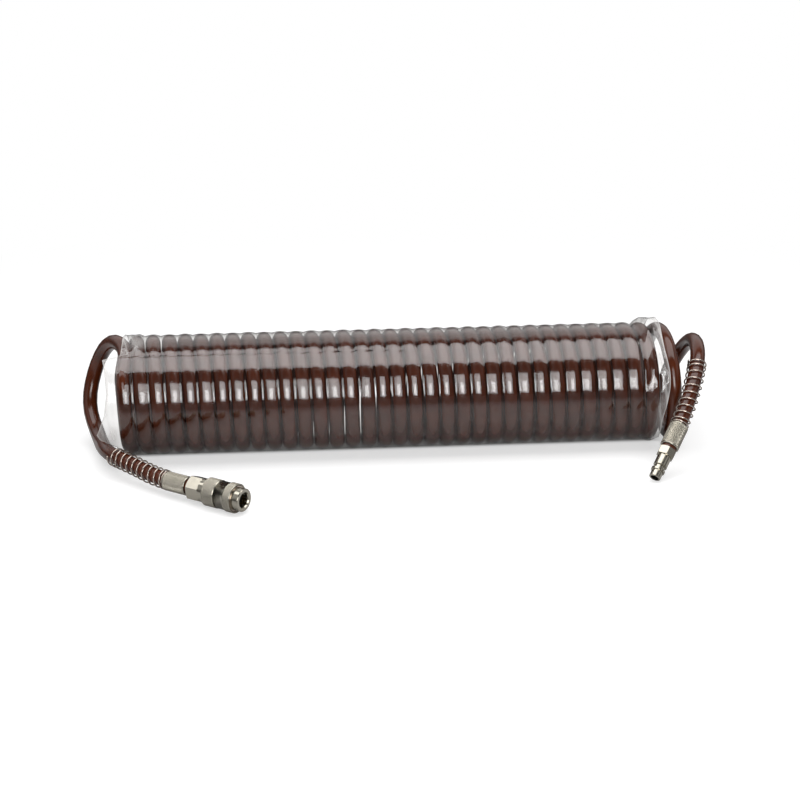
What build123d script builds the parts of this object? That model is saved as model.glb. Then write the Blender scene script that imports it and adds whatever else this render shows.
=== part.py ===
"""Coiled air hose: a wrapped coil of hose with a sleeve-locked coupler on one end and its plug on
the other. Millimetres, Z up; the coil lies along X on the floor, with its fittings towards -Y."""
from build123d import *
import math
import os

os.makedirs("parts", exist_ok=True)

# ---- the hose and its coil ----
hose_od = 13.0
hose_id = 8.0
coil_mean_r = 45.5
coil_x0, coil_x1 = -234.5, 244.0     # the two ends of the wound turns
coil_y = 56.0
film_gap = 0.1                       # the film lies on the turns
film_wall = 0.2
film_x0, film_x1 = -227.5, 232.5
coil_outer_r = coil_mean_r + hose_od / 2
film_inner_r = coil_outer_r + film_gap
film_outer_r = film_inner_r + film_wall
coil_z = film_outer_r                # the wrapped coil rests on the floor

# ---- fits ----
slide_gap = 0.08                     # the sleeve on its body, and the cone over the balls
ball_gap = 0.045
thread_gap = 0.05
seal_gap = 0.05
hose_grip = 0.05                     # a ferrule squeezes the hose by this much
spring_gap = 0.1

# ---- the coupler: u runs back along its axis from the mouth ----
coupler_turn = 38.0                  # degrees that its axis is turned from +X towards -Y
band_r = 12.45                       # front knurled band, which rests on the floor
mouth = Vector(-135.9, -98.6, band_r + 0.05)
coupler_back = Vector(-math.cos(math.radians(coupler_turn)), math.sin(math.radians(coupler_turn)), 0)
sleeve_stroke = 4.0
body_r = 9.75
bore_r = 6.2                         # takes a plug with a 12.1 collar
rim_u = 6.9
ring_u, ring_wide = 7.3, 1.0
ball_u = 11.3
ball_r = 2.375
ball_lift = 1.1                      # how far a ball moves out to free the plug
ball_relief = 2.3                    # the bore is a little wider to this far from the balls
shoulder_u = 15.0
sleeve_end_u = 36.3
flange_u = 34.0
hex_u0, hex_u1 = 40.6, 53.6
hex_flats = 19.0
collar_u, rear_shoulder_r = 35.6, 10.1   # behind the spring's collar, the round shoulder
coupler_ferrule_u = 57.3
ferrule_r = 8.2
ferrule_long = 22.7
collar_r = 6.05
neck_r = 4.7

# ---- the plug: v runs back along its axis from the tip ----
plug_turn, plug_dip = -129.0, 38.5   # heading and downward slope of the tip, in degrees
plug_tip = Vector(212.1, -56.5, 3.95)
level = math.cos(math.radians(plug_dip))
plug_back = Vector(-level * math.cos(math.radians(plug_turn)),
                   -level * math.sin(math.radians(plug_turn)),
                   math.sin(math.radians(plug_dip)))
tip_r, tip_long = 5.0, 6.5
collar_long = 2.0
neck_long = 3.4
shank_r, shank_long = 6.0, 10.0
plug_hex_long = 7.5
plug_hex_flats = 14.0
plug_ferrule_gap = 2.6
shank_v = tip_long + collar_long + neck_long
plug_hex_v = shank_v + shank_long
plug_end_v = plug_hex_v + plug_hex_long
plug_ferrule_v = plug_end_v + plug_ferrule_gap

# ---- the hose barbs and the bend springs ----
barb_stem_r, barb_ridge_r = 3.9, 4.2
barb_bore_r = 2.6
barb_long = 23.0
bend_spring_r, bend_spring_hole_r = 8.5, 7.2
bend_spring_long = 66.0

# ---- the hose's two loose ends: each leaves the coil and runs to the back of its fitting ----
coupler_hose_end = mouth + coupler_back * hex_u1
plug_hose_end = plug_tip + plug_back * plug_end_v


def round_coil(x, angle, out):
    """The point at an angle up from the coil's front, out from its turns' middle line."""
    angle = math.radians(angle)
    r = coil_mean_r + out
    return Vector(x, coil_y - r * math.cos(angle), coil_z + r * math.sin(angle))


coupler_route = [
    round_coil(-236.5, 40, 2.5), round_coil(-231.5, 77, 1), round_coil(-246, 115, 5),
    round_coil(-261, 156.5, 1.5), round_coil(-271, 208.5, -6), round_coil(-259.5, 265, -3.5),
    round_coil(-251.5, 327.5, 16.5), Vector(-225.5, -21.5, 15.5),
    coupler_hose_end + coupler_back * 35, coupler_hose_end]
plug_route = [
    round_coil(247, -140, 3), round_coil(254, -171, 3), round_coil(264.5, 156, -2.5),
    round_coil(268, 107, -8), round_coil(266, 59, -3.5), round_coil(258.5, 23.5, 7.5),
    plug_hose_end + plug_back * 37, plug_hose_end]


def bend_radii(points):
    """One radius per corner: the arc takes 0.45 of the shorter run beside it."""
    runs = [b - a for a, b in zip(points, points[1:])]
    radii = []
    for before, after in zip(runs, runs[1:]):
        half_turn = math.radians(before.get_angle(after)) / 2
        radii.append(0.45 * min(before.length, after.length) / math.tan(half_turn))
    return radii


def across(origin, back, along):
    """The plane square to a fitting's axis, at a distance along it."""
    side = Vector(0, 0, 1).cross(back).normalized()
    return Plane(origin=origin + back * along, x_dir=side, z_dir=back)


def through(origin, back):
    """The plane through a fitting's axis: x is the radius and y the distance along."""
    side = Vector(0, 0, 1).cross(back).normalized()
    return Plane(origin=origin, x_dir=side, z_dir=side.cross(back))


coupler_axis = Axis(mouth, coupler_back)
coupler_profile = through(mouth, coupler_back)
plug_axis = Axis(plug_tip, plug_back)
plug_profile = through(plug_tip, plug_back)

# ======== the hose ========

# The wound turns are one tube with the coil's outer and inner size.
with BuildPart() as hose_coil:
    with BuildSketch(Plane(origin=(coil_x0, coil_y, coil_z), z_dir=(1, 0, 0))):
        Circle(coil_outer_r)
        Circle(coil_mean_r - hose_od / 2, mode=Mode.SUBTRACT)
    extrude(amount=coil_x1 - coil_x0)
hose_coil.part.label = "hose_coil"
export_step(hose_coil.part, "parts/hose_coil.step")

coupler_radii = bend_radii(coupler_route)
print("coupler tail radii", [round(r, 1) for r in coupler_radii])
with BuildPart() as hose_tail_coupler:
    with BuildLine() as tail_line:
        FilletPolyline(coupler_route, radius=coupler_radii)
    print("coupler tail length", round(tail_line.wire().length, 1))
    with BuildSketch(tail_line.wire() ^ 0):
        Circle(hose_od / 2)
        Circle(hose_id / 2, mode=Mode.SUBTRACT)
    sweep()
hose_tail_coupler.part.label = "hose_tail_coupler"
export_step(hose_tail_coupler.part, "parts/hose_tail_coupler.step")

plug_radii = bend_radii(plug_route)
print("plug tail radii", [round(r, 1) for r in plug_radii])
with BuildPart() as hose_tail_plug:
    with BuildLine() as tail_line:
        FilletPolyline(plug_route, radius=plug_radii)
    print("plug tail length", round(tail_line.wire().length, 1))
    with BuildSketch(tail_line.wire() ^ 0):
        Circle(hose_od / 2)
        Circle(hose_id / 2, mode=Mode.SUBTRACT)
    sweep()
hose_tail_plug.part.label = "hose_tail_plug"
export_step(hose_tail_plug.part, "parts/hose_tail_plug.step")

# ======== the wrapping ========

with BuildPart() as shrink_film:
    with BuildSketch(Plane(origin=(film_x0, coil_y, coil_z), z_dir=(1, 0, 0))):
        Circle(film_outer_r)
        Circle(film_inner_r, mode=Mode.SUBTRACT)
    extrude(amount=film_x1 - film_x0)
shrink_film.part.label = "shrink_film"
export_step(shrink_film.part, "parts/shrink_film.step")

# ======== the coupler ========

seal_u0, seal_u1 = 15.2, 18.2        # groove of the seal that grips a plug's tip
seat_u = 19.7                        # back face of the valve seat
chamber_r = 7.4
thread_r = 8.2
thread_u = 26.0
ball_rest = bore_r + 1.325           # a ball's centre, so that it stands into the bore
cone_slope = ball_lift / sleeve_stroke
cone_at_ball = ball_rest + (ball_r + slide_gap) * math.sqrt(1 + cone_slope ** 2)
land_r = body_r + slide_gap
land_u = ball_u + (cone_at_ball - land_r) / cone_slope
rim_cone_r = cone_at_ball + cone_slope * (ball_u - rim_u)
spring_bore_r = 10.75
sleeve_mid_r, sleeve_rear_r = 11.65, 12.0
front_band_u, rear_band_u = 14.2, 24.7


def ball_plane(number):
    """The plane at a ball's centre, facing straight out from the bore."""
    turn = math.radians(45 + 90 * number)
    square = across(mouth, coupler_back, ball_u)
    out = square.x_dir * math.cos(turn) + square.y_dir * math.sin(turn)
    return Plane(origin=square.origin + out * ball_rest, x_dir=coupler_back, z_dir=out)


with BuildPart() as coupler_front_body:
    with BuildSketch(coupler_profile):
        with BuildLine():
            Polyline([
                (bore_r + 0.7, 0), (body_r - 0.5, 0), (body_r, 0.5),
                (body_r, ring_u), (body_r - 0.55, ring_u),
                (body_r - 0.55, ring_u + ring_wide), (body_r, ring_u + ring_wide),
                (body_r, flange_u), (thread_r, flange_u), (thread_r, thread_u),
                (chamber_r, thread_u), (chamber_r, seat_u),
                (5.3, seat_u), (5.3, seal_u1), (7.6, seal_u1), (7.6, seal_u0),
                (bore_r, seal_u0), (bore_r, ball_u + ball_relief),
                (bore_r + 0.3, ball_u + ball_relief), (bore_r + 0.3, ball_u - ball_relief),
                (bore_r, ball_u - ball_relief), (bore_r, 1.2)], close=True)
        make_face()
    revolve(axis=coupler_axis)
    for number in range(4):
        with Locations(ball_plane(number)):
            Sphere(ball_r + ball_gap, mode=Mode.SUBTRACT)
            Cylinder(ball_r + ball_gap, 4, align=(Align.CENTER, Align.CENTER, Align.MIN),
                     mode=Mode.SUBTRACT)
coupler_front_body.part.label = "coupler_front_body"
export_step(coupler_front_body.part, "parts/coupler_front_body.step")

for number in range(4):
    with BuildPart(ball_plane(number)) as coupler_locking_ball:
        Sphere(ball_r)
    coupler_locking_ball.part.label = f"coupler_locking_ball_{number + 1}"
    export_step(coupler_locking_ball.part, f"parts/coupler_locking_ball_{number + 1}.step")

with BuildPart() as coupler_sleeve:
    with BuildSketch(coupler_profile):
        with BuildLine():
            Polyline([
                (rim_cone_r, rim_u), (band_r - 0.4, rim_u), (band_r, rim_u + 0.4),
                (band_r, front_band_u - 0.4), (band_r - 0.4, front_band_u),
                (sleeve_mid_r, front_band_u), (sleeve_mid_r, rear_band_u - 0.6),
                (sleeve_mid_r - 0.3, rear_band_u - 0.6), (sleeve_mid_r - 0.3, rear_band_u),
                (sleeve_rear_r, rear_band_u), (sleeve_rear_r, sleeve_end_u - 0.4),
                (sleeve_rear_r - 0.4, sleeve_end_u), (spring_bore_r, sleeve_end_u),
                (spring_bore_r, shoulder_u), (land_r, shoulder_u), (land_r, land_u)], close=True)
        make_face()
    revolve(axis=coupler_axis)
coupler_sleeve.part.label = "coupler_sleeve"
export_step(coupler_sleeve.part, "parts/coupler_sleeve.step")

# The retaining ring is split so that it can be sprung into its groove.
ring_inner_r = body_r - 0.5
ring_outer_r = rim_cone_r - cone_slope * (ring_u + ring_wide - rim_u) - 0.1
with BuildPart() as coupler_retaining_ring:
    with BuildSketch(across(mouth, coupler_back, ring_u + 0.05)):
        Circle(ring_outer_r)
        Circle(ring_inner_r, mode=Mode.SUBTRACT)
        with Locations((0, -ring_outer_r)):
            Rectangle(2.0, 4.0, mode=Mode.SUBTRACT)
    extrude(amount=ring_wide - 0.1)
coupler_retaining_ring.part.label = "coupler_retaining_ring"
export_step(coupler_retaining_ring.part, "parts/coupler_retaining_ring.step")

sleeve_wire_r = 0.42
sleeve_spring_r = (body_r + spring_bore_r) / 2
sleeve_spring_u1 = flange_u - sleeve_wire_r - spring_gap
sleeve_spring_long = sleeve_spring_u1 - sleeve_wire_r - spring_gap - shoulder_u
with BuildPart() as coupler_sleeve_spring:
    with BuildLine() as wire_line:
        Helix(pitch=sleeve_spring_long / 6, height=sleeve_spring_long, radius=sleeve_spring_r,
              center=mouth + coupler_back * sleeve_spring_u1, direction=coupler_back * -1)
    with BuildSketch(wire_line.wire() ^ 0):
        Circle(sleeve_wire_r)
    sweep(is_frenet=True)
coupler_sleeve_spring.part.label = "coupler_sleeve_spring"
export_step(coupler_sleeve_spring.part, "parts/coupler_sleeve_spring.step")

with BuildPart() as coupler_plug_seal:
    with BuildSketch(coupler_profile):
        with BuildLine():
            Polyline([
                (tip_r + 0.8, seal_u0 + seal_gap), (7.6 - seal_gap, seal_u0 + seal_gap),
                (7.6 - seal_gap, seal_u1 - seal_gap), (tip_r - 0.05, seal_u1 - seal_gap),
                (tip_r - 0.05, seal_u0 + 0.9)], close=True)
        make_face()
    revolve(axis=coupler_axis)
coupler_plug_seal.part.label = "coupler_plug_seal"
export_step(coupler_plug_seal.part, "parts/coupler_plug_seal.step")

# The valve: its nose stands through the seat, where a plug's tip pushes it back.
valve_nose_u = 17.3
valve_head_u0, valve_head_u1 = 20.9, 22.4
valve_head_r = 6.6
with BuildPart() as coupler_valve_poppet:
    with BuildSketch(coupler_profile):
        with BuildLine():
            Polyline([
                (0, valve_nose_u), (4.2, valve_nose_u), (4.6, valve_nose_u + 0.4),
                (4.6, seal_u1 + 0.1), (5.2, seal_u1 + 0.4), (5.2, valve_head_u0),
                (valve_head_r, valve_head_u0), (valve_head_r, valve_head_u1),
                (4.4, valve_head_u1), (4.4, valve_head_u1 + 2.6), (0, valve_head_u1 + 2.6)],
                close=True)
        make_face()
    revolve(axis=coupler_axis)
    with BuildSketch(across(mouth, coupler_back, valve_nose_u)):
        with PolarLocations(4.6, 4):
            Rectangle(2.4, 2.4)
    extrude(amount=valve_head_u0 - 0.7 - valve_nose_u, mode=Mode.SUBTRACT)
coupler_valve_poppet.part.label = "coupler_valve_poppet"
export_step(coupler_valve_poppet.part, "parts/coupler_valve_poppet.step")

with BuildPart() as coupler_valve_seal:
    with BuildSketch(across(mouth, coupler_back, seat_u + seal_gap)):
        Circle(6.4)
        Circle(5.2 + seal_gap, mode=Mode.SUBTRACT)
    extrude(amount=valve_head_u0 - seat_u - 2 * seal_gap)
coupler_valve_seal.part.label = "coupler_valve_seal"
export_step(coupler_valve_seal.part, "parts/coupler_valve_seal.step")

valve_wire_r = 0.4
valve_seat_u = 32.0                  # step in the rear body that the valve spring stands on
valve_spring_u1 = valve_seat_u - valve_wire_r - spring_gap
valve_spring_long = valve_spring_u1 - valve_wire_r - spring_gap - valve_head_u1
with BuildPart() as coupler_valve_spring:
    with BuildLine() as wire_line:
        Helix(pitch=valve_spring_long / 5, height=valve_spring_long, radius=5.0,
              center=mouth + coupler_back * valve_spring_u1, direction=coupler_back * -1)
    with BuildSketch(wire_line.wire() ^ 0):
        Circle(valve_wire_r)
    sweep(is_frenet=True)
coupler_valve_spring.part.label = "coupler_valve_spring"
export_step(coupler_valve_spring.part, "parts/coupler_valve_spring.step")


def barb_points(start):
    """The profile of a hose barb that begins at a distance along its fitting."""
    points = [(barb_bore_r, start), (barb_stem_r, start)]
    ridges = 4
    step = (barb_long - 5) / ridges
    for ridge in range(ridges):
        edge = start + 5 + ridge * step
        points += [(barb_stem_r, edge), (barb_ridge_r, edge), (barb_stem_r, edge + step * 0.8)]
    points += [(barb_stem_r, start + barb_long), (barb_bore_r, start + barb_long)]
    return points


body_seal_u, body_seal_groove_r = 28.2, 7.4
with BuildPart() as coupler_rear_body:
    with BuildSketch(across(mouth, coupler_back, hex_u0)):
        RegularPolygon(hex_flats / 2, 6, major_radius=False, rotation=20)
    extrude(amount=hex_u1 - hex_u0)
    with BuildSketch(coupler_profile):
        with BuildLine():
            Polyline([
                (0, hex_u0), (hex_flats / 2 + 0.1, hex_u0), (hex_flats / 2 + 1.7, hex_u0 + 0.9),
                (hex_flats / 2 + 1.7, hex_u1 - 0.9), (hex_flats / 2 + 0.1, hex_u1), (0, hex_u1)],
                close=True)
        make_face()
    revolve(axis=coupler_axis, mode=Mode.INTERSECT)
    with BuildSketch(coupler_profile):
        with BuildLine():
            Polyline([
                (6.8, thread_u + 0.1), (thread_r - thread_gap, thread_u + 0.1),
                (thread_r - thread_gap, body_seal_u - 0.7), (body_seal_groove_r, body_seal_u - 0.7),
                (body_seal_groove_r, body_seal_u + 0.7), (thread_r - thread_gap, body_seal_u + 0.7),
                (thread_r - thread_gap, flange_u), (spring_bore_r - 0.15, flange_u),
                (spring_bore_r - 0.15, collar_u), (rear_shoulder_r, collar_u), (rear_shoulder_r, hex_u0 + 1),
                (barb_stem_r, hex_u0 + 1), (barb_stem_r, valve_seat_u), (6.8, valve_seat_u)],
                close=True)
        make_face()
    revolve(axis=coupler_axis)
    with BuildSketch(coupler_profile):
        with BuildLine():
            Polyline(barb_points(hex_u1 - 1), close=True)
        make_face()
    revolve(axis=coupler_axis)
    with BuildSketch(across(mouth, coupler_back, valve_seat_u - 1)):
        Circle(barb_bore_r)
    extrude(amount=hex_u1 - valve_seat_u + 1, mode=Mode.SUBTRACT)
coupler_rear_body.part.label = "coupler_rear_body"
export_step(coupler_rear_body.part, "parts/coupler_rear_body.step")

with BuildPart(across(mouth, coupler_back, body_seal_u)) as coupler_body_seal:
    Torus((body_seal_groove_r + thread_r - thread_gap) / 2, 0.36)
coupler_body_seal.part.label = "coupler_body_seal"
export_step(coupler_body_seal.part, "parts/coupler_body_seal.step")


def ferrule_points(start):
    """The profile of a knurled ferrule, with a flared mouth for the bend spring's end."""
    end = start + ferrule_long
    hole_r = hose_od / 2 - hose_grip
    return [(hole_r, start), (ferrule_r - 0.5, start), (ferrule_r, start + 0.5),
            (ferrule_r, end - 0.5), (ferrule_r - 0.5, end), (hole_r + 0.7, end), (hole_r, end - 8)]


with BuildPart() as coupler_hose_ferrule:
    with BuildSketch(coupler_profile):
        with BuildLine():
            Polyline(ferrule_points(coupler_ferrule_u), close=True)
        make_face()
    revolve(axis=coupler_axis)
coupler_hose_ferrule.part.label = "coupler_hose_ferrule"
export_step(coupler_hose_ferrule.part, "parts/coupler_hose_ferrule.step")


def square_to_tail(route, radii, from_end):
    """The plane square to a tail, facing its fitting, at a length from the hose's end."""
    with BuildLine() as line:
        FilletPolyline(route, radius=radii)
    whole = line.wire().length
    nearer = line.wire() @ (1 - (from_end - 0.5) / whole)
    further = line.wire() @ (1 - (from_end + 0.5) / whole)
    return Plane(origin=line.wire() @ (1 - from_end / whole), z_dir=nearer - further)


# A bend spring is a tube with its wire's outer and inner size, bent as the hose in it.
with BuildPart() as coupler_bend_spring:
    ferrule_end = coupler_ferrule_u + ferrule_long
    spring_far = square_to_tail(coupler_route, coupler_radii,
                                ferrule_end - hex_u1 + bend_spring_long)
    with BuildLine() as spring_line:
        FilletPolyline(coupler_route[-6:], radius=coupler_radii[-4:])
    with BuildSketch(spring_line.wire() ^ 0):
        Circle(bend_spring_r)
        Circle(bend_spring_hole_r, mode=Mode.SUBTRACT)
    sweep()
    split(bisect_by=across(mouth, coupler_back, ferrule_end), keep=Keep.TOP)
    split(bisect_by=spring_far, keep=Keep.TOP)
coupler_bend_spring.part.label = "coupler_bend_spring"
export_step(coupler_bend_spring.part, "parts/coupler_bend_spring.step")

# ======== the plug ========

with BuildPart() as plug_body:
    with BuildSketch(across(plug_tip, plug_back, plug_hex_v)):
        RegularPolygon(plug_hex_flats / 2, 6, major_radius=False, rotation=0)
    extrude(amount=plug_hex_long)
    with BuildSketch(plug_profile):
        with BuildLine():
            Polyline([
                (0, plug_hex_v), (plug_hex_flats / 2 + 0.1, plug_hex_v),
                (plug_hex_flats / 2 + 1.3, plug_hex_v + 0.7),
                (plug_hex_flats / 2 + 1.3, plug_end_v - 0.7),
                (plug_hex_flats / 2 + 0.1, plug_end_v), (0, plug_end_v)], close=True)
        make_face()
    revolve(axis=plug_axis, mode=Mode.INTERSECT)
    with BuildSketch(plug_profile):
        with BuildLine():
            Polyline([
                (3.5, 0), (tip_r - 0.4, 0), (tip_r, 0.4), (tip_r, tip_long),
                (collar_r, tip_long), (collar_r, tip_long + collar_long),
                (neck_r, tip_long + collar_long + 0.6), (neck_r, shank_v - 0.3),
                (shank_r, shank_v), (shank_r, plug_hex_v + 1),
                (3.5, plug_hex_v + 1)], close=True)
        make_face()
    revolve(axis=plug_axis)
    with BuildSketch(plug_profile):
        with BuildLine():
            Polyline(barb_points(plug_end_v - 1), close=True)
        make_face()
    revolve(axis=plug_axis)
    with BuildSketch(plug_profile):
        with BuildLine():
            Polyline([
                (0, shank_v), (3.5, shank_v), (3.5, plug_hex_v), (barb_bore_r, plug_hex_v + 1),
                (barb_bore_r, plug_end_v), (0, plug_end_v)], close=True)
        make_face()
    revolve(axis=plug_axis, mode=Mode.SUBTRACT)
plug_body.part.label = "plug_body"
export_step(plug_body.part, "parts/plug_body.step")

with BuildPart() as plug_hose_ferrule:
    with BuildSketch(plug_profile):
        with BuildLine():
            Polyline(ferrule_points(plug_ferrule_v), close=True)
        make_face()
    revolve(axis=plug_axis)
plug_hose_ferrule.part.label = "plug_hose_ferrule"
export_step(plug_hose_ferrule.part, "parts/plug_hose_ferrule.step")

with BuildPart() as plug_bend_spring:
    ferrule_end = plug_ferrule_v + ferrule_long
    spring_far = square_to_tail(plug_route, plug_radii,
                                ferrule_end - plug_end_v + bend_spring_long)
    with BuildLine() as spring_line:
        FilletPolyline(plug_route[-5:], radius=plug_radii[-3:])
    with BuildSketch(spring_line.wire() ^ 0):
        Circle(bend_spring_r)
        Circle(bend_spring_hole_r, mode=Mode.SUBTRACT)
    sweep()
    split(bisect_by=across(plug_tip, plug_back, ferrule_end), keep=Keep.TOP)
    split(bisect_by=spring_far, keep=Keep.TOP)
plug_bend_spring.part.label = "plug_bend_spring"
export_step(plug_bend_spring.part, "parts/plug_bend_spring.step")
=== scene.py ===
# %% [markdown]
# # A coiled air hose
# Ten metres of glossy brown hose are wound into one long coil, and the coil is wrapped in clear
# shrink film. Each loose end runs through a wire bend spring and a knurled ferrule to a nickel
# plated fitting: a quick coupler on the left, and its plug on the right.
# Lengths are written in millimetres and turned to metres where a mesh or curve is made.

# %% Start
import math

import bmesh
import bpy
import numpy as np
from mathutils import Matrix


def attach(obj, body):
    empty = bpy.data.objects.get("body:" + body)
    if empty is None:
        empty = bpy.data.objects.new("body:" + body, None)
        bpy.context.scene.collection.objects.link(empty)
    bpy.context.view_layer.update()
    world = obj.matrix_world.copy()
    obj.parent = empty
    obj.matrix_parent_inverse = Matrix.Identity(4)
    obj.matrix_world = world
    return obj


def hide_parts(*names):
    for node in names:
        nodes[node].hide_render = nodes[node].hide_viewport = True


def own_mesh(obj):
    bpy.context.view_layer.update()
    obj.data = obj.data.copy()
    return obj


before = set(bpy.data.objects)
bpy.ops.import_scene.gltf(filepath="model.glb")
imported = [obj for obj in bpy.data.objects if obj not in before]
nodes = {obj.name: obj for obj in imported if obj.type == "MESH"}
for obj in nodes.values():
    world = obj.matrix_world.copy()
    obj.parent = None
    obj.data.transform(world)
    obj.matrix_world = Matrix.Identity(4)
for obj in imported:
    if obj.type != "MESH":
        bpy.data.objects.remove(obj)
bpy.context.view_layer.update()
MM = 0.001
ROOT = "hose_assembly"

# %% [markdown]
# The camera stands to the left of the middle, a little above, and far enough away that the long
# coil keeps its proportions. Its three directions are worked out from two angles, so the same
# numbers say where it stands and where it looks.

# %% Camera
CAMERA_TURN = math.radians(-4.95)
CAMERA_RISE = math.radians(19.5)
CAMERA_AWAY = 1.93
LOOK_AT = np.array([0.0051, 0.056, 0.0406])

right = np.array([math.cos(CAMERA_TURN), math.sin(CAMERA_TURN), 0.0])
back = np.array([math.sin(CAMERA_TURN) * math.cos(CAMERA_RISE),
                 -math.cos(CAMERA_TURN) * math.cos(CAMERA_RISE),
                 math.sin(CAMERA_RISE)])
up = np.cross(back, right)
camera_data = bpy.data.cameras.new("camera")
camera_data.lens = 98.3
camera = bpy.data.objects.new("camera", camera_data)
camera.matrix_world = Matrix([
    (right[i], up[i], back[i], LOOK_AT[i] + back[i] * CAMERA_AWAY) for i in range(3)
] + [(0, 0, 0, 1)])
bpy.context.scene.collection.objects.link(camera)
bpy.context.scene.camera = camera
bpy.context.scene.view_settings.view_transform = "Standard"
print("camera at", [round(v, 3) for v in camera.matrix_world.translation])

# %% [markdown]
# Both fittings are round, so each is described by an axis: a point at its open end, and the
# direction that leads back along it towards the hose. Lengths along the coupler and the plug are
# counted from there.

# %% The two fittings' axes
def heading(turn, dip=0.0):
    """The unit direction at a heading from +X towards +Y, sloping down by dip, in degrees."""
    turn, dip = math.radians(turn), math.radians(dip)
    return np.array([math.cos(dip) * math.cos(turn), math.cos(dip) * math.sin(turn),
                     -math.sin(dip)])


COUPLER_MOUTH = np.array([-135.9, -98.6, 12.5])
COUPLER_BACK = -heading(-38.0)
PLUG_TIP = np.array([212.1, -56.5, 3.95])
PLUG_BACK = -heading(-129.0, 38.5)
COUPLER_HOSE_END, COUPLER_FERRULE = 53.6, 57.3      # how far back the hose and ferrule begin
PLUG_HOSE_END, PLUG_FERRULE = 29.4, 32.0
coupler_hose_end = COUPLER_MOUTH + COUPLER_BACK * COUPLER_HOSE_END
plug_hose_end = PLUG_TIP + PLUG_BACK * PLUG_HOSE_END
print("hose ends at", coupler_hose_end.round(1), plug_hose_end.round(1))

# %% [markdown]
# The hose is one smooth NURBS curve from fitting to fitting. Its loose ends are short lists of
# control points. The coil between them is a helix from a formula, sixteen control points a turn.
# Such a curve runs inside its control points, so they stand a little further out than the hose.
# The first turn is drawn out a little towards the coupler, and the last one, outside the film,
# has sprung away from its neighbour.

# %% The hose's route
HOSE_R = 6.5
COIL_R = 45.5                     # from the coil's axis to the middle of the hose
COIL_Y, COIL_Z = 56.0, 52.3
PITCH = 13.8
TURNS = 34
FIRST_ANGLE, LAST_ANGLE = 20.0, -120.0 - TURNS * 360.0  # degrees up from the front
START_X, START_ANGLE = -231.3, -54                      # a place on the even helix
DRAWN, SPRUNG = 1.2, 5.2          # how far the first and last turns leave the even helix
POINTS_PER_TURN = 16


def round_coil(x, angle, out):
    """A point beside the coil: its angle up from the front, and how far outside the turns."""
    r, angle = COIL_R + out, math.radians(angle)
    return (x, COIL_Y - r * math.cos(angle), COIL_Z + r * math.sin(angle))


coupler_route = np.array([
    round_coil(-236.5, 40, 2.5), round_coil(-231.5, 77, 1), round_coil(-246, 115, 5),
    round_coil(-261, 156.5, 1.5), round_coil(-271, 208.5, -6), round_coil(-259.5, 265, -3.5),
    round_coil(-251.5, 327.5, 16.5), (-225.5, -21.5, 15.5),
    coupler_hose_end + COUPLER_BACK * 35, coupler_hose_end])
plug_route = np.array([
    round_coil(247, -140, 3), round_coil(254, -171, 3), round_coil(264.5, 156, -2.5),
    round_coil(268, 107, -8), round_coil(266, 59, -3.5), round_coil(258.5, 23.5, 7.5),
    plug_hose_end + PLUG_BACK * 37, plug_hose_end])


def smooth_step(x, start, end):
    """0 before start, 1 after end, and an even S-shaped rise between."""
    t = np.clip((x - start) / (end - start), 0.0, 1.0)
    return t * t * (3 - 2 * t)


def turn_x(angle):
    """Where the helix is along X at an angle: even turns, with the two end turns drawn out."""
    drawn = -DRAWN * smooth_step(angle, -340, 20)
    sprung = SPRUNG * smooth_step(-angle, TURNS * 360 - 280, TURNS * 360)
    return START_X - PITCH * (angle - START_ANGLE) / 360 + drawn + sprung


def helix_points():
    """Control points of the wound turns, each turned back by the same angle from the last. The
    curve takes 1/8, 6/8 and 1/8 of three neighbours, so they stand out by what that pulls in."""
    step = 360 / POINTS_PER_TURN
    count = round((FIRST_ANGLE - LAST_ANGLE) / step)
    angle = np.linspace(FIRST_ANGLE, LAST_ANGLE, count + 1)
    around = np.radians(angle)
    control_r = COIL_R * 8 / (6 + 2 * math.cos(math.radians(step)))
    uneven = 0.06 * np.sin(0.731 * around + 1.0) + 0.05 * np.sin(0.177 * around)
    radius = control_r + uneven
    return np.column_stack([turn_x(angle) + 4.0 * uneven, COIL_Y - radius * np.cos(around),
                            COIL_Z + radius * np.sin(around)])


hose_points = np.vstack([coupler_route[::-1], helix_points(), plug_route]) * MM
print("hose control points", len(hose_points))


# %% A curve from control points
def nurbs_curve(name, points, thickness=0.0, steps=4):
    """One open NURBS curve through its two end points, as thick as asked. The thickness is held
    by the points' own radius, since that is what the object's bounds are taken from."""
    data = bpy.data.curves.new(name, "CURVE")
    data.dimensions = "3D"
    spline = data.splines.new("NURBS")
    spline.points.add(len(points) - 1)
    spline.points.foreach_set("co", np.column_stack([points, np.ones(len(points))]).ravel())
    spline.points.foreach_set("radius", np.full(len(points), thickness))
    spline.order_u = 3
    spline.use_endpoint_u = True
    spline.resolution_u = steps
    data.resolution_u = steps
    data.bevel_depth = 1.0 if thickness else 0.0
    data.bevel_resolution = 6
    data.use_fill_caps = thickness > 0
    piece = bpy.data.objects.new(name, data)
    bpy.context.scene.collection.objects.link(piece)
    return piece


def curve_line(points):
    """The points that a NURBS curve with these control points runs through."""
    probe = nurbs_curve("probe", points, steps=24)
    mesh = bpy.data.meshes.new_from_object(
        probe.evaluated_get(bpy.context.evaluated_depsgraph_get()))
    line = np.empty(len(mesh.vertices) * 3)
    mesh.vertices.foreach_get("co", line)
    bpy.data.meshes.remove(mesh)
    bpy.data.objects.remove(probe)
    return line.reshape(-1, 3)


hose = nurbs_curve("hose", hose_points, HOSE_R * MM)
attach(hose, ROOT)
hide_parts("hose_coil", "hose_tail_coupler", "hose_tail_plug")
hose_line = curve_line(hose_points)

# %% [markdown]
# Round pieces with a pattern on them are grids: one direction runs along the piece, the other
# around it. A function fills whole arrays with positions, and one helper turns a grid of points
# into a mesh with a UV map.

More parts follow.
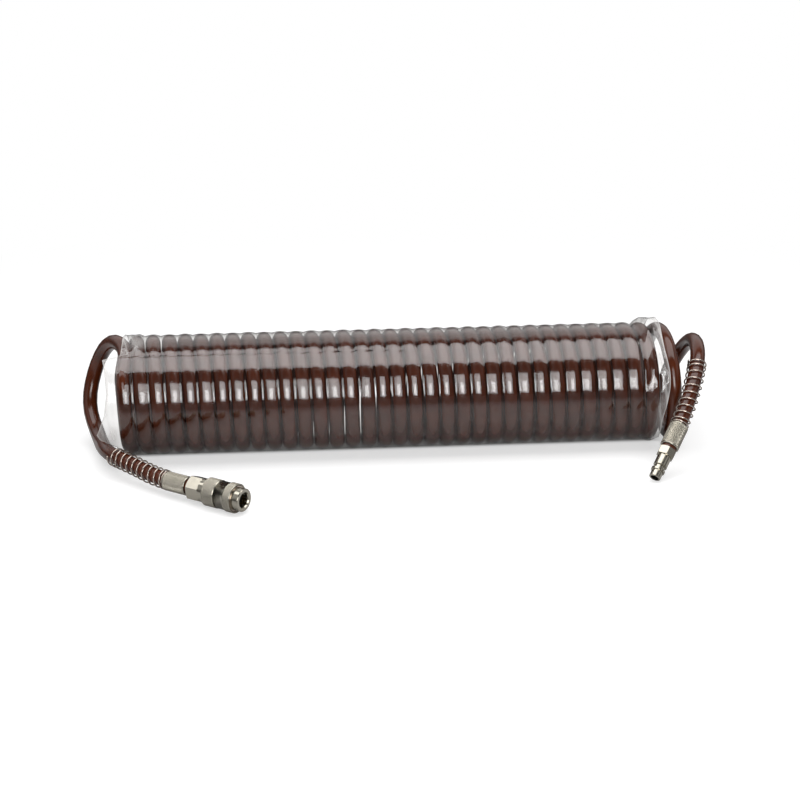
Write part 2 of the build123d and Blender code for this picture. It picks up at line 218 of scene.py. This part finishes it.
# %% A mesh from a grid of points
def grid_mesh(name, points, closed_along=False, capped=False, body=ROOT):
    """A mesh from points[along, round]: the last column joins the first, and so does the last
    row where it is closed along. Each face's normal is set against the way out from its ring's
    centre, and all the faces are turned round if their sum points inwards."""
    rows, columns = points.shape[:2]
    steps = rows if closed_along else rows - 1
    row, col = np.arange(steps)[:, None], np.arange(columns)[None, :]
    next_row, next_col = (row + 1) % rows, (col + 1) % columns
    faces = np.stack([row * columns + col, row * columns + next_col,
                      next_row * columns + next_col, next_row * columns + col],
                     axis=-1).reshape(-1, 4)
    shape = (steps, columns)
    uv = np.stack([np.stack([np.broadcast_to(row + i, shape) / steps,
                             np.broadcast_to(col + j, shape) / columns], axis=-1)
                   for i, j in ((0, 0), (0, 1), (1, 1), (1, 0))], axis=2).reshape(-1, 4, 2)
    corner = points.reshape(-1, 3)[faces]
    normal = np.cross(corner[:, 2] - corner[:, 0], corner[:, 3] - corner[:, 1])
    centre = np.repeat(points.mean(axis=1), columns, axis=0)[:len(faces)]
    if (normal * (corner.mean(axis=1) - centre)).sum() < 0:
        faces, uv = faces[:, ::-1], uv[:, ::-1]
    mesh = bpy.data.meshes.new(name)
    mesh.vertices.add(rows * columns)
    mesh.vertices.foreach_set("co", points.ravel())
    mesh.loops.add(faces.size)
    mesh.loops.foreach_set("vertex_index", faces.ravel())
    mesh.polygons.add(len(faces))
    mesh.polygons.foreach_set("loop_start", np.arange(0, faces.size, 4))
    mesh.polygons.foreach_set("use_smooth", np.ones(len(faces), bool))
    mesh.update(calc_edges=True)
    mesh.uv_layers.new(name="UVMap").data.foreach_set("uv", uv.astype(float).ravel())
    if capped:
        shell = bmesh.new()
        shell.from_mesh(mesh)
        bmesh.ops.holes_fill(shell, edges=shell.edges, sides=0)
        shell.to_mesh(mesh)
        shell.free()
    mesh.validate()
    piece = bpy.data.objects.new(name, mesh)
    bpy.context.scene.collection.objects.link(piece)
    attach(piece, body)
    return piece


def cross_frame(axis):
    """Two unit directions square to an axis: level, and the one square to both."""
    side = np.cross([0.0, 0.0, 1.0], axis)
    side /= np.linalg.norm(side, axis=-1, keepdims=True)
    return side, np.cross(axis, side)


KNURL_FLAT = 1.6                  # the ridges' tops are cut flat above 1 / KNURL_FLAT
KNURL_FADE = 0.3                  # how soon a knurl reaches its full depth


def turned_piece(name, origin, axis, profile, knurls, sides, body=ROOT):
    """A closed profile of (radius, along) points turned about an axis. Each knurl is (start, end,
    depth, rows): crossed grooves whose height is the lower of two slanting ridge patterns."""
    profile = np.array(profile, float)
    around = np.linspace(0, 2 * np.pi, sides, endpoint=False)
    radius = np.repeat(profile[:, :1], sides, axis=1)
    along = profile[:, 1:2]
    for start, end, depth, rows in knurls:
        twist = rows * around[None, :] / (2 * np.pi)
        lead = (along - start) * rows / (2 * np.pi * radius.max())
        ridges = [1 - np.abs(2 * ((twist + s * lead) % 1) - 1) for s in (1, -1)]
        height = np.minimum(1.0, KNURL_FLAT * np.minimum(*ridges))
        inside = (smooth_step(along, start, start + KNURL_FADE)
                  * smooth_step(-along, -end, KNURL_FADE - end))
        radius = radius - depth * (1 - height) * inside
    side, rise = cross_frame(axis)
    ring = np.cos(around)[:, None] * side + np.sin(around)[:, None] * rise
    points = origin + along[..., None] * axis + radius[..., None] * ring
    return grid_mesh(name, points[:-1] * MM, closed_along=True, body=body)


def dense(profile, stretches, step):
    """The profile with extra points between the corners that each stretch joins."""
    out = []
    for i, (a, b) in enumerate(zip(profile, profile[1:])):
        count = max(1, round(math.dist(a, b) / step)) if i in stretches else 1
        out += [tuple(np.array(a) + (np.array(b) - np.array(a)) * k / count)
                for k in range(count)]
    return out + [profile[-1]]


# %% [markdown]
# The knurled ferrules grip the hose on its barb. Their fine diamond knurl is cut into the metal,
# so here it is real relief: grooves 1.4 mm apart, 0.5 mm deep, between two plain rims.

# %% Knurled ferrules
FERRULE_R = 8.2
FERRULE_LONG = 22.7
FERRULE_BORE = 6.45               # it squeezes the hose a little
FERRULE_FLARE = 7.15              # the bore's radius at its flared mouth
CHAMFER, RIM = 0.5, 1.2
FERRULE_KNURL, FERRULE_ROWS = 0.5, 36


def ferrule(name, origin, axis, start, node):
    """A knurled tube with a flared mouth, from one end's hole round the outside and back."""
    end = start + FERRULE_LONG
    profile = [(HOSE_R, start + 8), (FERRULE_BORE, start), (FERRULE_R - CHAMFER, start),
               (FERRULE_R, start + CHAMFER), (FERRULE_R, start + RIM), (FERRULE_R, end - RIM),
               (FERRULE_R, end - CHAMFER), (FERRULE_R - CHAMFER, end), (FERRULE_FLARE, end),
               (FERRULE_BORE, end - 8), (HOSE_R, start + 8)]
    piece = turned_piece(name, origin, axis, dense(profile, {4}, 0.15),
                         knurls=[(start + RIM, end - RIM, FERRULE_KNURL, FERRULE_ROWS)],
                         sides=432)
    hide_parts(node)
    return piece


coupler_ferrule = ferrule("coupler_ferrule", COUPLER_MOUTH, COUPLER_BACK, COUPLER_FERRULE,
                          "coupler_hose_ferrule")
plug_ferrule = ferrule("plug_ferrule", PLUG_TIP, PLUG_BACK, PLUG_FERRULE, "plug_hose_ferrule")
print("ferrule faces", len(coupler_ferrule.data.polygons))

# %% [markdown]
# The coupler's sleeve is pulled back to free a plug. It has two knurled bands with a smooth waist
# between them, and a thin dark line where the rear band begins. It is a body of its own, so the
# piece rides on the sleeve and moves with it.

# %% Sliding sleeve
SLEEVE_KNURL = 0.35
sleeve_outline = [
    (11.281, 6.9), (12.05, 6.9), (12.45, 7.3), (12.45, 13.8), (12.05, 14.2), (11.65, 14.6),
    (11.65, 24.1), (11.3, 24.15), (11.3, 24.65), (12.0, 24.7), (12.0, 35.9), (11.6, 36.3),
    (10.75, 36.3), (10.75, 15.0), (9.83, 15.0), (9.83, 12.18), (11.281, 6.9)]
sleeve = turned_piece("sliding_sleeve", COUPLER_MOUTH, COUPLER_BACK,
                      dense(sleeve_outline, {2, 9}, 0.2),
                      knurls=[(7.6, 13.6, SLEEVE_KNURL, 56), (25.1, 35.6, SLEEVE_KNURL, 54)],
                      sides=640, body="sleeve")
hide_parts("coupler_sleeve")
print("sleeve faces", len(sleeve.data.polygons))

# %% [markdown]
# Each bend spring is round wire wound into a loose helix that follows the hose. The helix turns
# about the hose's own line: the line gives a centre and a direction at each point, and the wire
# circles it. The wire's own round section is then carried along that path in the same way.

# %% Bend springs
SPRING_R = 7.85                   # from the hose's middle to the middle of the wire
WIRE_R = 0.65
SPRING_LONG = 64.6                # between the middles of its end turns
SPRING_PITCH = 6.7
SPRING_GAP = 0.7                  # from the ferrule to the middle of the first turn's wire
NEAR_TURNS, FAR_TURNS = 0.8, 0.6  # the share of a turn that is closed up at each end


def line_from(line, start, length, count):
    """Even points on a line of points, from one length along it to another, in mm."""
    run = np.concatenate([[0], np.cumsum(np.linalg.norm(np.diff(line, axis=0), axis=1))])
    at = np.linspace(start, start + length, count)
    return np.column_stack([np.interp(at, run, line[:, i]) for i in range(3)])


def bend_spring(name, line, start, node):
    """Wire round a line: centre + R * (cos a * side + sin a * rise). The angle a grows evenly
    with the length, and faster at both ends, where the last turns are closed up."""
    along = np.linspace(0, SPRING_LONG, 441)
    turns = (along / SPRING_PITCH + NEAR_TURNS * (1 - np.exp(-along / 1.2))
             + FAR_TURNS * smooth_step(along, SPRING_LONG - 9, SPRING_LONG))
    centre = line_from(line, start, SPRING_LONG, len(along))
    ahead = np.gradient(centre, axis=0)
    ahead /= np.linalg.norm(ahead, axis=1, keepdims=True)
    side, rise = cross_frame(ahead)
    angle = 2 * np.pi * turns[:, None]
    outward = np.cos(angle) * side + np.sin(angle) * rise
    wire = centre + SPRING_R * outward
    forward = np.gradient(wire, axis=0)
    forward /= np.linalg.norm(forward, axis=1, keepdims=True)
    across = np.cross(forward, outward)
    section = np.linspace(0, 2 * np.pi, 12, endpoint=False)[None, :, None]
    points = wire[:, None] + WIRE_R * (
        np.cos(section) * outward[:, None] + np.sin(section) * across[:, None])
    piece = grid_mesh(name, points * MM, capped=True)
    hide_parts(node)
    return piece


hose_mm = hose_line / MM
coupler_spring = bend_spring(
    "coupler_spring", hose_mm,
    COUPLER_FERRULE + FERRULE_LONG - COUPLER_HOSE_END + SPRING_GAP, "coupler_bend_spring")
plug_spring = bend_spring(
    "plug_spring", hose_mm[::-1],
    PLUG_FERRULE + FERRULE_LONG - PLUG_HOSE_END + SPRING_GAP, "plug_bend_spring")
print("spring faces", len(coupler_spring.data.polygons))

# %% [markdown]
# Two springs inside the coupler are squeezed when it moves: the sleeve's own, and the one behind
# the valve. Each keeps its rear end against the fixed body, and loses as much of its length as
# its joint travels. Here each is only given its own copy of its mesh.


def compress(name):
    """Give a spring its own copy of its mesh; it is not squashed here."""
    spring = nodes[name]
    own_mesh(spring)


compress("coupler_sleeve_spring")
compress("coupler_valve_spring")

# %% [markdown]
# The film is a tube of clear plastic, shrunk tight with hot air. It lies on the crests of the
# turns, highest on every second one, and dips between them. Its cut ends hang past the wound
# turns, and there it is crumpled. It is a grid over the angle around the coil and the way along
# it: the radius at each point is the coil's, less the dips, plus the folds.

# %% Shrink film: its two cut ends
FILM_R = 52.2
FILM_COLUMNS, FILM_ROWS = 234, 420                      # around the coil, and along it
TABLE_GAP = 0.05


def film_ends(angle):
    """Where the film's two cut ends are along X, at each angle up from the front."""
    left = np.interp(angle, [-180, -120, -60, -40, -30, -22, 0, 20, 45, 56, 59, 90, 130, 180],
                     [-236, -238, -240, -243, -256, -259, -252, -249.5, -251, -252.5, -237, -235,
                      -232, -236])
    wobble = np.radians(angle)
    right_end = 232.5 + 2.5 * np.sin(2 * wobble + 0.7) + 1.2 * np.sin(5 * wobble)
    return left, right_end


# %% Shrink film: its surface
def loose_parts(angle, x, right_end):
    """From 0 to 1, how far each point is into the crumpled tail at the right end, the puckered
    head on top at the left end, and the skirt that hangs past the first turn there."""
    tail = smooth_step(x, right_end - 20, right_end - 11)
    head = smooth_step(-x, 214, 224) * smooth_step(angle, 50, 62)
    skirt = smooth_step(-x, 238, 246) * smooth_step(-angle, -60, -56)
    return tail, head, skirt


def film_radius(angle, x, right_end):
    """The film's distance from the coil's axis. Between two crests it sags along 1 - |cos|,
    which is round on the crest and creased in the valley. Nothing goes below the table."""
    around = np.radians(angle)
    strand = (x - START_X) / PITCH + (angle - START_ANGLE) / 360
    front = smooth_step(-np.abs(angle - 35), -130, -100)
    high = 0.5 + 0.5 * np.cos(np.pi * strand)
    between = 1.04 - np.sqrt(np.cos(np.pi * strand) ** 2 + 0.04 ** 2)
    drift = np.sin(0.031 * x + 2.1 * np.sin(around)) * np.cos(around + 0.013 * x)
    tight = smooth_step(x, 60, 190)
    slack = (1.15 + 0.25 * drift) * (1 - 0.35 * tight * (1 - high))
    bar = np.exp(-((angle - 53 + 2.5 * np.sin(0.04 * x)) / 3.0) ** 2)
    barred = smooth_step(x, -135, -100) * smooth_step(-x, -70, -20)
    top = np.exp(-((angle - 88) / 30) ** 2)
    crumple = np.sin(9 * around + 0.5 * x) + 0.7 * np.sin(17 * around - 0.8 * x + 1.0)
    notch = (np.exp(-((x - 213 - 2 * np.sin(2 * around)) / 3.2) ** 2)
             * smooth_step(angle, 5, 25))
    tail, head, skirt = loose_parts(angle, x, right_end)
    radius = FILM_R + 0.3 * front * high - slack * between
    radius = radius + 0.45 * bar * barred * (1 - high)
    radius = radius + tail * (0.8 + 4.6 * top + 0.3 * crumple) - 1.3 * notch * front
    radius = radius + head * (1.4 * top + 0.3 * crumple * front)
    radius = radius - skirt * (0.8 + 0.5 * np.sin(5 * around + 0.2 * x))
    lowest = np.maximum(-np.sin(around), 0.5)
    return np.minimum(radius, (COIL_Z - TABLE_GAP) / lowest)


def film_haze(angle, x, left, right_end):
    """From 0 to 1, how white the film is: on its cut edges, and in streaks where it is loose."""
    around = np.radians(angle)
    head, skirt = loose_parts(angle, x, right_end)[1:]
    streak = np.clip(0.5 + 0.5 * np.sin(7 * around + 0.35 * x + 2 * np.sin(0.3 * x)), 0, 1) ** 4
    edge = np.exp(-(x - left) / 0.8) + np.exp(-(right_end - x) / 0.8)
    haze = (0.6 * edge + smooth_step(x, right_end - 9, right_end - 5) * (0.15 + 0.35 * streak)
            + head * (0.05 + 0.35 * streak)
            + skirt * (0.12 + 0.15 * streak + 0.2 * smooth_step(-angle, 0, 30)))
    return np.clip(haze, 0, 1)


film_angles = np.linspace(-180, 180, FILM_COLUMNS, endpoint=False)
cut_left, cut_right = film_ends(film_angles)
film_x = cut_left + (cut_right - cut_left) * np.linspace(0, 1, FILM_ROWS)[:, None]
film_r = film_radius(film_angles, film_x, cut_right)
film_points = np.stack([film_x, COIL_Y - film_r * np.cos(np.radians(film_angles)),
                        COIL_Z + film_r * np.sin(np.radians(film_angles))], -1)
film = grid_mesh("film", film_points * MM)
haze_data = film.data.attributes.new("haze", "FLOAT", "POINT")
haze_data.data.foreach_set(
    "value", film_haze(film_angles, film_x, cut_left, cut_right).astype(np.float32).ravel())
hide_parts("shrink_film")
print("film faces", len(film.data.polygons), "lowest", round(film_points[..., 2].min(), 2), "mm")

# %% [markdown]
# Colours are written as sRGB hex values, as a colour picker gives them, and turned to the linear
# values that shaders use. One helper adds a shader node with its settings and links.

# %% Colour and node helpers
def linear(hex_text):
    """An sRGB hex colour as linear RGBA."""
    value = np.array([int(hex_text[i:i + 2], 16) for i in (1, 3, 5)]) / 255
    value = np.where(value <= 0.04045, value / 12.92, ((value + 0.055) / 1.055) ** 2.4)
    return (*value.tolist(), 1.0)


def add_node(tree, kind, settings=None, values=None, links=None):
    """Adds a node: its properties, its sockets' values, and the outputs that feed its inputs."""
    made = tree.nodes.new(kind)
    for key, value in (settings or {}).items():
        setattr(made, key, value)
    for key, value in (values or {}).items():
        made.inputs[key].default_value = value
    for key, source in (links or {}).items():
        tree.links.new(source, made.inputs[key])
    return made


def new_material(name):
    """An empty node material and its tree."""
    made = bpy.data.materials.new(name)
    made.use_nodes = True
    made.node_tree.nodes.clear()
    return made, made.node_tree


def finish_material(tree, shader):
    """Sends a shader to the surface."""
    add_node(tree, "ShaderNodeOutputMaterial", links={"Surface": shader.outputs[0]})


# %% [markdown]
# The hose is extruded polyurethane: brown all through, smooth and shiny, a plastic with an IOR
# of 1.5. Its colour varies a little, and handling has left slightly duller patches.

# %% Hose material
def polyurethane():
    """Glossy brown extruded polyurethane, with fine variation in colour and gloss."""
    made, tree = new_material("brown_polyurethane")
    place = add_node(tree, "ShaderNodeTexCoord")
    cloud = add_node(tree, "ShaderNodeTexNoise", values={"Scale": 60.0, "Detail": 4.0},
                     links={"Vector": place.outputs["Object"]})
    colour = add_node(tree, "ShaderNodeValToRGB", links={"Fac": cloud.outputs["Fac"]})
    colour.color_ramp.elements[0].position = 0.3
    colour.color_ramp.elements[0].color = linear("#3c1a0c")
    colour.color_ramp.elements[1].position = 0.7
    colour.color_ramp.elements[1].color = linear("#4e220f")
    gloss = add_node(tree, "ShaderNodeMapRange", values={"To Min": 0.12, "To Max": 0.2},
                     links={"Value": cloud.outputs["Fac"]})
    shader = add_node(tree, "ShaderNodeBsdfPrincipled", values={"IOR": 1.5},
                      links={"Base Color": colour.outputs["Color"],
                             "Roughness": gloss.outputs["Result"]})
    finish_material(tree, shader)
    return made


hose.data.materials.append(polyurethane())

# %% [markdown]
# The fittings are nickel plate on turned brass, a slightly warm grey metal, with steel springs and
# balls, a brass valve and rubber seals. Fine marks make each one's gloss uneven.

# %% Metals and rubber
def marked(name, colour, roughness, spread=0.08, grain=400.0, detail=3.0, metallic=1.0):
    """One colour whose roughness varies over fine marks. It is a bare metal unless told."""
    made, tree = new_material(name)
    place = add_node(tree, "ShaderNodeTexCoord")
    marks = add_node(tree, "ShaderNodeTexNoise", values={"Scale": grain, "Detail": detail},
                     links={"Vector": place.outputs["Object"]})
    gloss = add_node(tree, "ShaderNodeMapRange",
                     values={"To Min": roughness - spread, "To Max": roughness + spread},
                     links={"Value": marks.outputs["Fac"]})
    shader = add_node(tree, "ShaderNodeBsdfPrincipled",
                      values={"Base Color": linear(colour), "Metallic": metallic},
                      links={"Roughness": gloss.outputs["Result"]})
    finish_material(tree, shader)
    return made


nickel = marked("nickel_plate", "#aaa599", 0.2)
drawn_wire = marked("bright_drawn_wire", "#b9aca2", 0.22)
ball_steel = marked("polished_ball_steel", "#d0d0d0", 0.1, 0.03)
turned_brass = marked("turned_brass", "#b8903a", 0.3)
nitrile = marked("nitrile_rubber", "#141312", 0.6, spread=0.1, grain=900.0, detail=2.0,
                 metallic=0.0)

# %% [markdown]
# Clear film shows mostly as a shine. Most light goes straight through it, and the share that its
# two faces throw back grows from a fourteenth to nearly all at a glancing angle. Where it is
# crumpled it also scatters a little light, and looks white.

# %% Film material
def clear_film():
    """A transparent share, a mirror-like share, and a white one where the film is crumpled."""
    made, tree = new_material("clear_shrink_film")
    place = add_node(tree, "ShaderNodeTexCoord")
    ripple = add_node(tree, "ShaderNodeTexNoise", values={"Scale": 70.0, "Detail": 4.0},
                      links={"Vector": place.outputs["Object"]})
    bump = add_node(tree, "ShaderNodeBump", values={"Strength": 0.12, "Distance": 0.0006},
                    links={"Height": ripple.outputs["Fac"]})
    glance = add_node(tree, "ShaderNodeLayerWeight", values={"Blend": 0.5},
                      links={"Normal": bump.outputs["Normal"]})
    steep = add_node(tree, "ShaderNodeMath", {"operation": "POWER"}, {1: 4.0},
                     {0: glance.outputs["Facing"]})
    share = add_node(tree, "ShaderNodeMapRange", values={"To Min": 0.07, "To Max": 1.0},
                     links={"Value": steep.outputs[0]})
    through = add_node(tree, "ShaderNodeBsdfTransparent", values={"Color": linear("#f2f1f0")})
    shine = add_node(tree, "ShaderNodeBsdfGlossy",
                     values={"Color": linear("#ffffff"), "Roughness": 0.13},
                     links={"Normal": bump.outputs["Normal"]})
    clear = add_node(tree, "ShaderNodeMixShader",
                     links={0: share.outputs["Result"], 1: through.outputs[0],
                            2: shine.outputs[0]})
    crumpled = add_node(tree, "ShaderNodeAttribute", {"attribute_name": "haze"})
    white = add_node(tree, "ShaderNodeBsdfDiffuse", values={"Color": linear("#c6c4c2")})
    mixed = add_node(tree, "ShaderNodeMixShader",
                     links={0: crumpled.outputs["Fac"], 1: clear.outputs[0],
                            2: white.outputs[0]})
    finish_material(tree, mixed)
    return made


film.data.materials.append(clear_film())

# %% Give each piece its material
for piece in (coupler_ferrule, plug_ferrule, sleeve):
    piece.data.materials.append(nickel)
for piece in (coupler_spring, plug_spring):
    piece.data.materials.append(drawn_wire)
finish_of = {"coupler_front_body": nickel, "coupler_rear_body": nickel, "plug_body": nickel,
             "coupler_retaining_ring": drawn_wire, "coupler_sleeve_spring": drawn_wire,
             "coupler_valve_spring": drawn_wire, "coupler_valve_poppet": turned_brass,
             "coupler_plug_seal": nitrile, "coupler_body_seal": nitrile,
             "coupler_valve_seal": nitrile}
for number in range(1, 5):
    finish_of[f"coupler_locking_ball_{number}"] = ball_steel
for name, finish in finish_of.items():
    nodes[name].data.materials.clear()
    nodes[name].data.materials.append(finish)
print("materials", [made.name for made in bpy.data.materials])

# %% [markdown]
# The studio is a pale table under a wide soft box overhead, with a lower soft box on the camera's
# side and a small, brighter one in front of it. The camera sees the table and the room as plain
# white, apart from the shadow. Reflections see the table fall away to grey further off, and a
# dark room with pale walls.

# %% Lights
def soft_box(name, size, place, aim, power):
    """A rectangular area light at a place, turned towards a point."""
    data = bpy.data.lights.new(name, "AREA")
    data.shape = "RECTANGLE"
    data.size, data.size_y = size
    data.energy = power
    lamp = bpy.data.objects.new(name, data)
    away = np.array(place, float) - np.array(aim, float)
    away /= np.linalg.norm(away)
    side = np.cross([0.0, 1.0, 0.0] if abs(away[2]) > 0.9 else [0.0, 0.0, 1.0], away)
    side /= np.linalg.norm(side)
    rise = np.cross(away, side)
    lamp.matrix_world = Matrix([(side[i], rise[i], away[i], place[i]) for i in range(3)]
                               + [(0, 0, 0, 1)])
    bpy.context.scene.collection.objects.link(lamp)


soft_box("overhead_box", (2.6, 1.13), (0.0, -0.03, 1.4), (0.0, -0.02, 0.05), 28.0)
soft_box("front_box", (1.4, 1.58), (0.0, -2.13, 0.91), (0.0, 0.0, 0.05), 24.0)
soft_box("front_core", (0.6, 0.75), (0.0, -2.05, 0.62), (0.0, 0.0, 0.05), 8.0)
print("lamps", [lamp.name for lamp in bpy.data.lights])

# %% Table
SHADOW_LINE = 0.064               # the middle of the dark strip under the coil, in metres

floor_mesh = bpy.data.meshes.new("table")
floor_mesh.from_pydata([(-6, -4.5, 0), (6, -4.5, 0), (6, 9, 0), (-6, 9, 0)], [], [(0, 1, 2, 3)])
floor = bpy.data.objects.new("table", floor_mesh)
bpy.context.scene.collection.objects.link(floor)


def by_ray(tree, as_light, in_mirrors, to_camera):
    """One shader for the light that a surface gives, one for mirrors and windows, and one for
    the camera."""
    path = add_node(tree, "ShaderNodeLightPath")
    mirror = add_node(tree, "ShaderNodeMath", {"operation": "MAXIMUM"},
                      links={0: path.outputs["Is Glossy Ray"],
                             1: path.outputs["Is Transmission Ray"]})
    unseen = add_node(tree, "ShaderNodeMixShader",
                      links={0: mirror.outputs[0], 1: as_light.outputs[0],
                             2: in_mirrors.outputs[0]})
    return add_node(tree, "ShaderNodeMixShader",
                    links={0: path.outputs["Is Camera Ray"], 1: unseen.outputs[0],
                           2: to_camera.outputs[0]})


def white_table():
    """Matt pale paint, with a glow added for a camera, so that it shows as plain white. The glow
    is left out right under the coil, so the shadow there stays dark. A mirror or a window sees
    the paint lit near the object, and it falls away to grey further off."""
    made, tree = new_material("white_table")
    place = add_node(tree, "ShaderNodeTexCoord")
    split = add_node(tree, "ShaderNodeSeparateXYZ", links={"Vector": place.outputs["Object"]})
    off_line = add_node(tree, "ShaderNodeMath", {"operation": "SUBTRACT"}, {1: SHADOW_LINE},
                        {0: split.outputs["Y"]})
    off_line = add_node(tree, "ShaderNodeMath", {"operation": "ABSOLUTE"},
                        links={0: off_line.outputs[0]})
    beside = add_node(tree, "ShaderNodeMapRange", values={"From Min": 0.016, "From Max": 0.024},
                      links={"Value": off_line.outputs[0]})
    sideways = add_node(tree, "ShaderNodeMath", {"operation": "ABSOLUTE"},
                        links={0: split.outputs["X"]})
    past_end = add_node(tree, "ShaderNodeMapRange", values={"From Min": 0.225, "From Max": 0.24},
                        links={"Value": sideways.outputs[0]})
    clear = add_node(tree, "ShaderNodeMath", {"operation": "MAXIMUM"},
                     links={0: beside.outputs["Result"], 1: past_end.outputs["Result"]})
    distance = add_node(tree, "ShaderNodeVectorMath", {"operation": "LENGTH"},
                        links={0: place.outputs["Object"]})
    far = add_node(tree, "ShaderNodeMapRange", values={"From Min": 0.45, "From Max": 0.8},
                   links={"Value": distance.outputs["Value"]})
    glow_level = add_node(tree, "ShaderNodeMath", {"operation": "MULTIPLY"}, {1: 0.55},
                          {0: clear.outputs[0]})
    paint = add_node(tree, "ShaderNodeBsdfDiffuse", values={"Color": linear("#c0c0c0")})
    glow = add_node(tree, "ShaderNodeEmission", values={"Color": (1, 1, 1, 1)},
                    links={"Strength": glow_level.outputs[0]})
    lit = add_node(tree, "ShaderNodeAddShader", links={0: paint.outputs[0], 1: glow.outputs[0]})
    plain_white = add_node(tree, "ShaderNodeEmission",
                           values={"Color": (1, 1, 1, 1), "Strength": 1.0})
    shown = add_node(tree, "ShaderNodeMixShader",
                     links={0: far.outputs["Result"], 1: lit.outputs[0],
                            2: plain_white.outputs[0]})
    off = add_node(tree, "ShaderNodeMapRange",
                   values={"From Min": 0.16, "From Max": 0.3, "To Max": 0.85},
                   links={"Value": off_line.outputs[0]})
    grey = add_node(tree, "ShaderNodeEmission", values={"Color": (1, 1, 1, 1), "Strength": 0.06})
    mirrored = add_node(tree, "ShaderNodeMixShader",
                        links={0: off.outputs["Result"], 1: paint.outputs[0], 2: grey.outputs[0]})
    finish_material(tree, by_ray(tree, paint, mirrored, shown))
    return made


floor_mesh.materials.append(white_table())


# %% World
def studio_world():
    """White to the camera. Mirrors and windows see a white wall high behind the table, pale
    walls at its sides, and a dark room elsewhere. As light, it is a weak even fill."""
    world = bpy.data.worlds.new("studio")
    world.use_nodes = True
    tree = world.node_tree
    tree.nodes.clear()
    place = add_node(tree, "ShaderNodeTexCoord")
    split = add_node(tree, "ShaderNodeSeparateXYZ", links={"Vector": place.outputs["Generated"]})
    behind = add_node(tree, "ShaderNodeMapRange",
                      values={"From Min": 0.48, "From Max": 0.6},
                      links={"Value": split.outputs["Y"]})
    sideways = add_node(tree, "ShaderNodeMath", {"operation": "ABSOLUTE"},
                        links={0: split.outputs["X"]})
    beside = add_node(tree, "ShaderNodeMapRange",
                      values={"From Min": 0.6, "From Max": 0.75, "To Max": 0.6},
                      links={"Value": sideways.outputs[0]})
    white = add_node(tree, "ShaderNodeMath", {"operation": "MAXIMUM"},
                     links={0: behind.outputs["Result"], 1: beside.outputs["Result"]})
    raised = add_node(tree, "ShaderNodeMapRange",
                      values={"From Min": 0.1, "From Max": 0.4, "To Min": 0.1, "To Max": 0.9},
                      links={"Value": split.outputs["Z"]})
    level = add_node(tree, "ShaderNodeMath", {"operation": "MULTIPLY_ADD"}, {2: 0.03},
                     {0: white.outputs[0], 1: raised.outputs["Result"]})
    fill = add_node(tree, "ShaderNodeBackground",
                    values={"Color": (1, 1, 1, 1), "Strength": 0.15})
    mirrored = add_node(tree, "ShaderNodeBackground", values={"Color": (1, 1, 1, 1)},
                        links={"Strength": level.outputs[0]})
    seen = add_node(tree, "ShaderNodeBackground",
                    values={"Color": (1, 1, 1, 1), "Strength": 1.0})
    last = by_ray(tree, fill, mirrored, seen)
    add_node(tree, "ShaderNodeOutputWorld", links={"Surface": last.outputs[0]})
    return world


bpy.context.scene.world = studio_world()

# %% Update the scene
bpy.context.view_layer.update()
